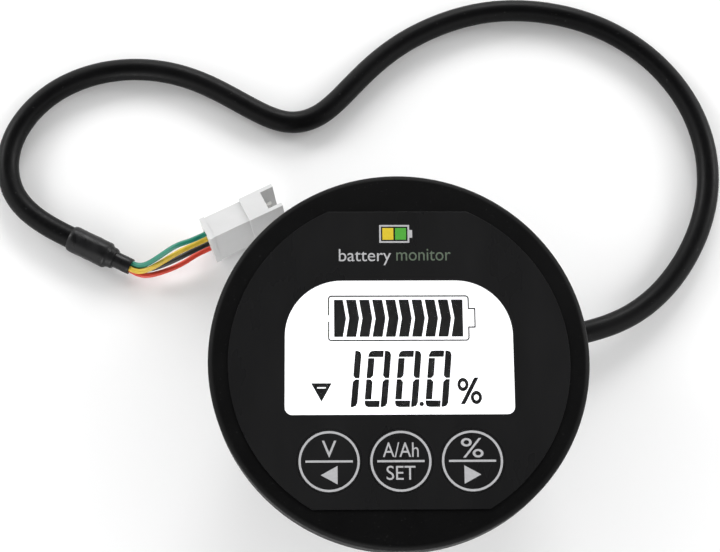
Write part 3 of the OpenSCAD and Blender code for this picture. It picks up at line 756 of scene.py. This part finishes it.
def sleeve(name, outline, wrinkle, seed):
    """Shrunk tube along the lead's end: its outline turned, then wrinkled."""
    end, along = lead_end()
    obj = turned(name, [(radius * MM, distance * MM) for radius, distance in outline], 64)
    for vertex in obj.data.vertices:
        radius = math.hypot(vertex.co.x, vertex.co.y)
        if radius > 1e-6:
            spot = Vector((vertex.co.x * 900, vertex.co.y * 900, vertex.co.z * 2200 + seed))
            swell = 1 + wrinkle * noise.noise(spot) / radius
            vertex.co.x *= swell
            vertex.co.y *= swell
    turn = Vector((0, 0, 1)).rotation_difference(along).to_matrix().to_4x4()
    settle(obj, Matrix.Translation(end) @ turn)
    smooth(obj, 60)
    return obj


# ---- Operators ----

class MONITOR_OT_camera(bpy.types.Operator):
    """Adds the camera that looks down on the face"""
    bl_idname = "monitor.camera"
    bl_label = "Camera"

    def execute(self, context):
        data = bpy.data.cameras.new("monitor_camera")
        data.lens = 85
        data.sensor_width = 36
        data.clip_start = 0.01
        camera = bpy.data.objects.new("monitor_camera", data)
        camera.location = (-0.01345, -0.05865, 0.3141)
        camera.rotation_euler = [math.radians(angle) for angle in (14.46, -1.27, -0.47)]
        context.scene.collection.objects.link(camera)
        context.scene.camera = camera
        return {"FINISHED"}


class MONITOR_OT_lead(bpy.types.Operator):
    """Lays the signal lead with its sleeves, wires and connector"""
    bl_idname = "monitor.lead"
    bl_label = "Signal Lead"

    def execute(self, context):
        make_finishes()
        points = lead_points()
        end, along = lead_end()
        jacket = round_line("signal_lead", spline(points, 10), sizes().lead_diameter / 2, 8)
        finished(jacket, "housing", "jacket", "lead_jacket", "lead_jacket")
        large = sleeve("large_sleeve", LARGE_SLEEVE, 0.00009, 3.1)
        finished(large, "housing", "sleeve", "heat_shrink", "shrink_outer")
        small = sleeve("small_sleeve", SMALL_SLEEVE, 0.00005, 8.7)
        finished(small, "housing", "sleeve", "heat_shrink", "shrink_inner")
        aside = Vector((-along.y, along.x, 0))
        up = Vector((0, 0, 1))
        for colour, (across, above), bow_mm, level in WIRES:
            start = end + CORE_SPREAD * (across * aside + above * up)
            bow = Vector(bow_mm) * MM
            line = spline([
                start, start + 2.6 * MM * along, start + 5.2 * MM * along,
                start + 7.8 * MM * along + 0.4 * bow, plug_point(-6.5, 0, level * 0.9) + 0.6 * bow,
                plug_point(-3.5, 0, level), plug_point(-1, 0, level), plug_point(1.5, 0, level),
            ], 8)
            wire = round_line("wire_" + colour + "_cover", line, sizes().wire_diameter / 2, 5)
            finished(wire, "housing", colour, "wire_" + colour, "wire_" + colour)
        plug = softened_copy("plug_housing", "connector", 0.2 * MM, 3)
        finished(plug, "housing", "nylon", "connector_nylon", "plug_housing")
        return {"FINISHED"}


BARREL_BORE = 24 * MM
THREAD_ROOT = 25.2 * MM
THREAD_CREST = 25.8 * MM
THREAD_TURNS = 7
THREAD_PITCH = 2
POCKET_RADIUS = 5.5 * MM
POCKET_BACK = 29.4 * MM
STEM_HOLE = 1.88 * MM
FILM_KEY_HOLE = 5.48 * MM
SLOT_DEPTH = 24.95
SLOT_HALF = 2 * MM


def key_spot(key):
    """Middle of a packed key, seen from the front."""
    low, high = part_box("key_" + key)
    return ((low.x + high.x) / 2, (low.y + high.y) / 2)


class MONITOR_OT_bezel(bpy.types.Operator):
    """Turns the bezel with its rounded front edge and the threaded barrel behind it"""
    bl_idname = "monitor.bezel"
    bl_label = "Bezel and Barrel"

    def execute(self, context):
        edge = sizes().edge_radius
        outer = BEZEL_RADIUS
        inner_face = BEZEL_TOP - 3 * MM
        root, crest = THREAD_ROOT, THREAD_CREST
        profile = [(0, inner_face), (BARREL_BORE, inner_face), (BARREL_BORE, BARREL_BACK)]
        profile.append((root, BARREL_BACK))
        for turn in range(THREAD_TURNS):
            z = BARREL_BACK + (0.6 + THREAD_PITCH * turn) * MM
            profile += [(root, z), (crest, z + 0.6 * MM), (crest, z + 0.8 * MM), (root, z + 1.4 * MM)]
        profile += [(root, BEZEL_BACK), (outer - 0.4 * MM, BEZEL_BACK), (outer, BEZEL_BACK + 0.4 * MM)]
        for angle in range(0, 91, 10):
            profile.append((
                outer - edge + edge * math.cos(math.radians(angle)),
                BEZEL_TOP - edge + edge * math.sin(math.radians(angle)),
            ))
        profile += [(28 * MM, BEZEL_TOP), (0, BEZEL_TOP)]
        shell = turned("bezel", profile, 180)
        subtract(shell, screen_cutter("screen_hole", 0.4 * MM, inner_face - MM, BEZEL_TOP + MM))
        for key in KEYS:
            spot = key_spot(key)
            subtract(shell, drum("pocket", POCKET_RADIUS, POCKET_BACK, BEZEL_TOP + MM, spot, 96))
            subtract(shell, drum("stem_hole", STEM_HOLE, inner_face - MM, BEZEL_TOP, spot, 48))
        for side in (-1, 1):
            low = (min(side * SLOT_DEPTH, side * 27) * MM, -SLOT_HALF, BARREL_BACK - MM)
            high = (max(side * SLOT_DEPTH, side * 27) * MM, SLOT_HALF, BEZEL_BACK)
            subtract(shell, block("slot", low, high))
        smooth(shell, 24)
        finished(shell, "housing", "bezel", "housing_plastic", "front_housing")
        return {"FINISHED"}


class MONITOR_OT_film(bpy.types.Operator):
    """Cuts the printed film of the face around the screen and the keys"""
    bl_idname = "monitor.film"
    bl_label = "Printed Film"

    def execute(self, context):
        now = sizes()
        film = drum("face_film", now.film_radius, BEZEL_TOP, FACE_Z, (0, -now.film_drop), sides=192)
        for height, way in ((now.film_top, 1), (-now.film_bottom, -1)):
            edit(film)
            bpy.ops.mesh.bisect(
                plane_co=(0, height, 0), plane_no=(0, way, 0), use_fill=True, clear_outer=True
            )
            done()
        subtract(film, screen_cutter("screen_hole", 0, BEZEL_TOP - MM, FACE_Z + MM))
        for key in KEYS:
            hole = drum("key_hole", FILM_KEY_HOLE, BEZEL_TOP - MM, FACE_Z + MM, key_spot(key), 96)
            subtract(film, hole)
        soften(film, 0.07 * MM, 2)
        smooth(film, 30)
        finished(film, "housing", "film", "printed_film", "graphic_overlay")
        self.badge()
        return {"FINISHED"}

    def badge(self):
        """Small battery pictogram with two cells, over the words."""
        height = sizes().print_height
        x, y = -0.6 * MM, 21.75 * MM
        half_w, half_h, line = 2.6 * MM, 1.6 * MM, 0.3 * MM
        top = FACE_Z + height
        case = block("badge_case", (x - half_w, y - half_h, FACE_Z), (x + half_w, y + half_h, top))
        subtract(case, block(
            "inside", (x - half_w + line, y - half_h + line, FACE_Z - MM),
            (x + half_w - line, y + half_h - line, FACE_Z + MM),
        ))
        tip = block(
            "tip", (x + half_w, y - 0.7 * MM, FACE_Z), (x + half_w + 0.5 * MM, y + 0.7 * MM, top)
        )
        words = lettering("battery", (x - 5.1 * MM, 17.6 * MM), (9 * MM, 2.9 * MM), FACE_Z, height)
        finished(join([case, tip, words], "badge_print"), "housing", "ink", "printed_film")
        more = lettering("monitor", (x + 5.0 * MM, 18.0 * MM), (9.4 * MM, 2.1 * MM), FACE_Z, height)
        more.name = "badge_second_word"
        finished(more, "housing", "dim_ink", "printed_film")
        for name, ink, left in (("badge_cell_1", "sun_ink", -2.05), ("badge_cell_2", "leaf_ink", 0.15)):
            cell = block(
                name, (x + left * MM, y - 1.05 * MM, FACE_Z),
                (x + (left + 1.9) * MM, y + 1.05 * MM, top),
            )
            finished(cell, "housing", ink, "printed_film")


# The side keys' letters: text, width, height and rise in mm, and which way the arrow points.
SIDE_LEGENDS = {"left": ("V", 2.45, 2.83, 2.09, -1), "right": ("%", 3.75, 3.3, 2.2, 1)}


class MONITOR_OT_keys(bpy.types.Operator):
    """Makes the three keys with their printed rings, dividers and legends"""
    bl_idname = "monitor.keys"
    bl_label = "Keys"

    def execute(self, context):
        for key in KEYS:
            low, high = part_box("key_" + key)
            spot = Vector(((low.x + high.x) / 2, (low.y + high.y) / 2))
            radius = (high.x - low.x) / 2
            disc = drum("key_disc_" + key, radius, high.z - 1.5 * MM, high.z, spot, 96)
            unite(disc, drum("stem", 1.8 * MM, low.z, high.z - MM, spot, 48))
            soften(disc, 0.06 * MM, 2)
            smooth(disc, 30)
            body = "key_" + key
            finished(disc, body, "film", "printed_film", body)
            legend = join(self.legend(key, spot, high.z), "key_print_" + key)
            finished(legend, body, "ink", "printed_film")
        return {"FINISHED"}

    def legend(self, key, spot, base):
        now = sizes()
        x, y = spot
        height = now.print_height
        outer = now.ring_radius
        parts = [flat_ring("ring", outer, outer - now.ring_stroke, spot, base, height)]
        parts.append(block(
            "divider", (x - 3.96 * MM, y - 0.18 * MM, base), (x + 3.96 * MM, y + 0.18 * MM, base + height)
        ))
        if key == "centre":
            parts.append(lettering("A/Ah", (x, y + 1.92 * MM), (6 * MM, 2.5 * MM), base, height))
            parts.append(lettering("SET", (x, y - 1.96 * MM), (4.83 * MM, 2.38 * MM), base, height))
            return parts
        text, width, tall, rise, way = SIDE_LEGENDS[key]
        parts.append(lettering(text, (x, y + rise * MM), (width * MM, tall * MM), base, height))
        tip = (x + way * 1.4 * MM, y - 2.3 * MM)
        back = x - way * 1.4 * MM
        corners = [tip, (back, y - 0.75 * MM), (back, y - 3.85 * MM)]
        parts.append(wedge("arrow", corners, base, height))
        return parts


class MONITOR_OT_clamp(bpy.types.Operator):
    """Rounds the edges of the gasket, washer, ring nut, rear cover, screws and grommet"""
    bl_idname = "monitor.clamp"
    bl_label = "Clamp and Rear Cover"

    def execute(self, context):
        plan = (
            ("panel_gasket", "flange_gasket", 0.25, "housing", "rubber", "soft_rubber"),
            ("clamp_washer", "tabbed_washer", 0.12, "clamp_washer", "steel", "screw_steel"),
            ("ring_nut", "notched_nut", 0.35, "ring_nut", "nut", "nut_plastic"),
            ("rear_cover", "back_cover", 0.3, "housing", "bezel", "housing_plastic"),
            ("cover_screw_1", "screw_top", 0.12, "housing", "steel", "screw_steel"),
            ("cover_screw_2", "screw_right", 0.12, "housing", "steel", "screw_steel"),
            ("cover_screw_3", "screw_left", 0.12, "housing", "steel", "screw_steel"),
            ("lead_grommet", "exit_grommet", 0.2, "housing", "rubber", "soft_rubber"),
        )
        for node, name, width, body, finish, slot in plan:
            finished(softened_copy(node, name, width * MM), body, finish, slot, node)
        return {"FINISHED"}


class MONITOR_OT_inside(bpy.types.Operator):
    """Gives the screen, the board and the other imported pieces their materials"""
    bl_idname = "monitor.inside"
    bl_label = "Screen and Board"

    def execute(self, context):
        for node, finish in CAD_FINISHES.items():
            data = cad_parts[node].data
            data.materials.clear()
            data.materials.append(FINISHES[finish])
        return {"FINISHED"}


# Name, place, width in metres and power in watts of each soft light.
LAMPS = (
    ("left_softbox", (-0.8, 0.5, 0.45), 0.35, 3),
    ("right_softbox", (0.85, 0.35, 0.4), 0.35, 2.5),
    ("back_softbox", (0.1, 0.9, 0.5), 0.4, 3),
    ("front_softbox", (-0.2, -0.9, 0.16), 0.4, 2.6),
)


class MONITOR_OT_stage(bpy.types.Operator):
    """Adds the pale floor, the soft lights and the surrounding light"""
    bl_idname = "monitor.stage"
    bl_label = "Stage"

    def execute(self, context):
        deselect_all()
        bpy.ops.mesh.primitive_plane_add(size=6, location=(0, 0, -0.00005))
        floor = settle(added("floor"))
        finish = Finish("floor_paint", Roughness=0.8)
        cloudy = finish.noise(finish.place(), 6.0, 3.0)
        tone = colours().floor
        finish.feed("Base Color", finish.blend(cloudy, shade(tone, 0.99), shade(tone, 1.01)))
        floor.data.materials.append(finish.material)
        for lamp in LAMPS:
            self.area(*lamp)
        self.surroundings(context)
        context.scene.view_settings.view_transform = "Standard"
        return {"FINISHED"}

    def area(self, name, spot, size, power):
        data = bpy.data.lights.new(name, "AREA")
        data.shape = "DISK"
        data.size = size
        data.energy = power
        lamp = bpy.data.objects.new(name, data)
        lamp.location = spot
        lamp.rotation_euler = (-Vector(spot)).to_track_quat("-Z", "Y").to_euler()
        bpy.context.scene.collection.objects.link(lamp)

    def surroundings(self, context):
        """Light that is bright around the horizon, a little brighter behind, and dark overhead."""
        world = bpy.data.worlds.new("surroundings")
        world.use_nodes = True
        context.scene.world = world
        nodes = world.node_tree.nodes
        links = world.node_tree.links
        place = nodes.new("ShaderNodeTexCoord")
        parts = nodes.new("ShaderNodeSeparateXYZ")
        links.new(place.outputs["Generated"], parts.inputs[0])
        levels = []
        for axis, low, high, start, end in (("Z", 0.5, 0.86, 1.8, 0.05), ("Y", -0.6, 0.6, 0.95, 1.1)):
            level = nodes.new("ShaderNodeMapRange")
            level.interpolation_type = "SMOOTHSTEP"
            for key, value in (("From Min", low), ("From Max", high), ("To Min", start), ("To Max", end)):
                level.inputs[key].default_value = value
            links.new(parts.outputs[axis], level.inputs["Value"])
            levels.append(level)
        product = nodes.new("ShaderNodeMath")
        product.operation = "MULTIPLY"
        links.new(levels[0].outputs[0], product.inputs[0])
        links.new(levels[1].outputs[0], product.inputs[1])
        links.new(product.outputs[0], nodes["Background"].inputs[1])
        nodes["Background"].inputs[0].default_value = (1, 1, 1, 1)


class MONITOR_PT_panel(bpy.types.Panel):
    """Lists the steps that build the monitor"""
    bl_label = "Battery Monitor"
    bl_idname = "MONITOR_PT_panel"
    bl_space_type = "VIEW_3D"
    bl_region_type = "UI"
    bl_category = "Battery Monitor"

    def draw(self, context):
        layout = self.layout
        for group in (context.scene.monitor_sizes, context.scene.monitor_colours):
            box = layout.box()
            for name in group.__annotations__:
                box.prop(group, name)
        for step in STEPS:
            layout.operator(step.bl_idname)


STEPS = (
    MONITOR_OT_camera, MONITOR_OT_lead, MONITOR_OT_bezel, MONITOR_OT_film, MONITOR_OT_keys,
    MONITOR_OT_clamp, MONITOR_OT_inside, MONITOR_OT_stage,
)
CLASSES = (MonitorSizes, MonitorColours, *STEPS, MONITOR_PT_panel)


def register():
    for item in CLASSES:
        bpy.utils.register_class(item)
    bpy.types.Scene.monitor_sizes = PointerProperty(type=MonitorSizes)
    bpy.types.Scene.monitor_colours = PointerProperty(type=MonitorColours)


def unregister():
    del bpy.types.Scene.monitor_colours
    del bpy.types.Scene.monitor_sizes
    for item in reversed(CLASSES):
        bpy.utils.unregister_class(item)


def main():
    register()
    bpy.ops.monitor.camera()
    bpy.ops.monitor.lead()
    bpy.ops.monitor.bezel()
    bpy.ops.monitor.film()
    bpy.ops.monitor.keys()
    bpy.ops.monitor.clamp()
    bpy.ops.monitor.inside()
    bpy.ops.monitor.stage()


if __name__ == "__main__":
    main()
